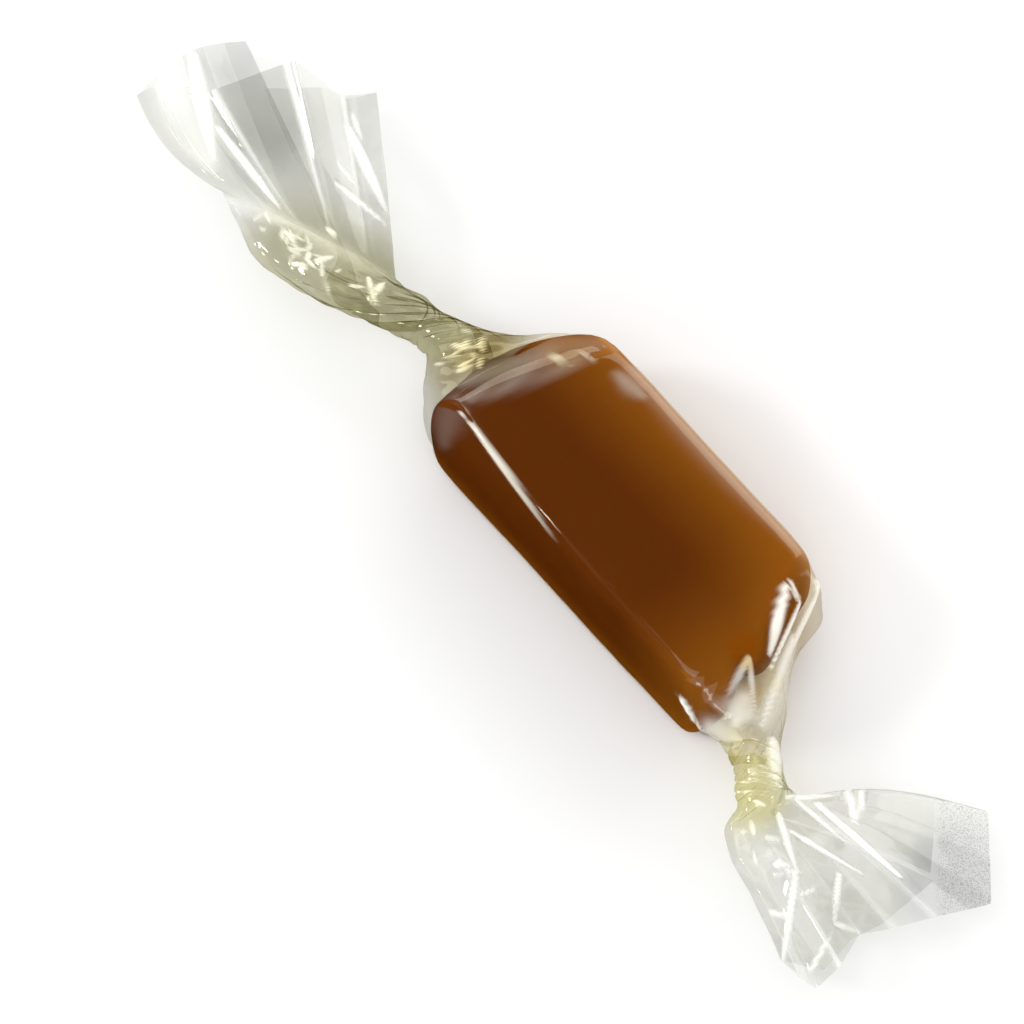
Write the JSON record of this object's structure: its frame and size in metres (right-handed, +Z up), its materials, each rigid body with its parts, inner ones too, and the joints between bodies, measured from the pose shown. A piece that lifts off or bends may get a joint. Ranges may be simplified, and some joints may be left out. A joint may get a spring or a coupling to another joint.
{
  "type": "wrapped caramel candy",
  "caption": "Soft brown caramel block in a clear film that is twisted at both ends into fanned tails, lying on its flat side.",
  "frame": {"origin": "on the surface that the sweet lies on, under the middle of the caramel block", "axes": "+X along the block from the longer twisted tail to the shorter one, +Y to the block's right side, +Z up"},
  "size_m": [0.1233, 0.0284, 0.0138],
  "materials": {
    "caramel": "smooth, slightly translucent toffee brown with a soft gloss",
    "film": "clear thin film, glossy, with crisp creases"
  },
  "bodies": {
    "root": {"caramel": "caramel", "wrapper": "film"}
  },
  "joints": []
}
